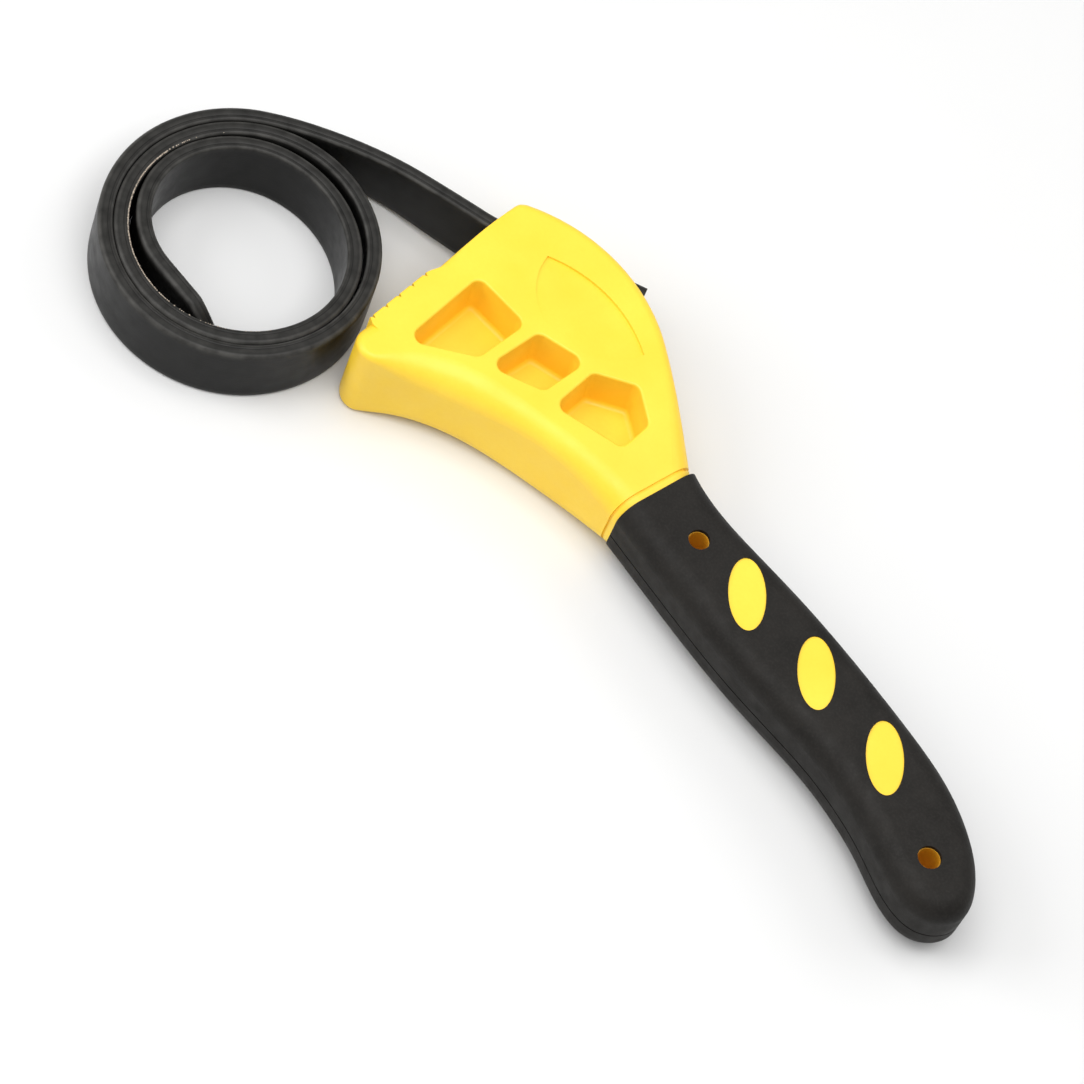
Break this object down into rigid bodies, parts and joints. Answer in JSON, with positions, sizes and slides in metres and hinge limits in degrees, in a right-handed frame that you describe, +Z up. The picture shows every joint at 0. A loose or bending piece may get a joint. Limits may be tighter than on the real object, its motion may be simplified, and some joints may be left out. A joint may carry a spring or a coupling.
{
  "type": "strap oil filter wrench",
  "caption": "Moulded wrench handle with a soft grip and a toothed jaw; a flat corded rubber strap, anchored in the head, lies coiled beside it ready to wrap a filter.",
  "frame": {"origin": "a point on the head's flat underside, on the axis of the neck and handle", "axes": "+X from the head to the grip's butt, +Z up out of the head's broad face, +Y towards the head's round back; the strap leaves the head towards -X"},
  "size_m": [0.3137, 0.131, 0.03],
  "materials": {
    "head_plastic": "semi-matte moulded glass-filled nylon, yellow",
    "grip_rubber": "matte overmoulded thermoplastic rubber, brownish black",
    "pin_steel": "plain ground steel",
    "strap_rubber": "smooth calendered rubber with a soft sheen, charcoal black",
    "strap_cord": "woven cord ply bonded between the rubber faces"
  },
  "bodies": {
    "handle": {"handle_body": "head_plastic", "grip_sleeve": "grip_rubber", "anchor_pin": "pin_steel", "strap_root_outer_rubber": "strap_rubber", "strap_root_cord_ply": "strap_cord", "strap_root_inner_rubber": "strap_rubber"},
    "strap_run": {"strap_run_outer_rubber": "strap_rubber", "strap_run_cord_ply": "strap_cord", "strap_run_inner_rubber": "strap_rubber"},
    "strap_coil": {"strap_coil_outer_rubber": "strap_rubber", "strap_coil_cord_ply": "strap_cord", "strap_coil_inner_rubber": "strap_rubber"},
    "strap_tip": {"strap_tip_outer_rubber": "strap_rubber", "strap_tip_cord_ply": "strap_cord", "strap_tip_inner_rubber": "strap_rubber"}
  },
  "joints": [
    {"name": "strap_mouth_bend", "type": "hinge", "parent": "handle", "child": "strap_run", "pos_m": [-0.02805, 0.00966, 0.015], "axis": [0, 0, 1], "range_deg": [-45, 2], "stiffness_Nm_per_rad": 0.03},
    {"name": "strap_coil_bend", "type": "hinge", "parent": "strap_run", "child": "strap_coil", "pos_m": [-0.07796, -0.01483, 0.011], "axis": [0, 0, 1], "range_deg": [-45, 0], "stiffness_Nm_per_rad": 0.02},
    {"name": "strap_tip_bend", "type": "hinge", "parent": "strap_coil", "child": "strap_tip", "pos_m": [-0.08855, -0.06394, 0.011], "axis": [0, 0, 1], "range_deg": [0, 30], "stiffness_Nm_per_rad": 0.02}
  ]
}
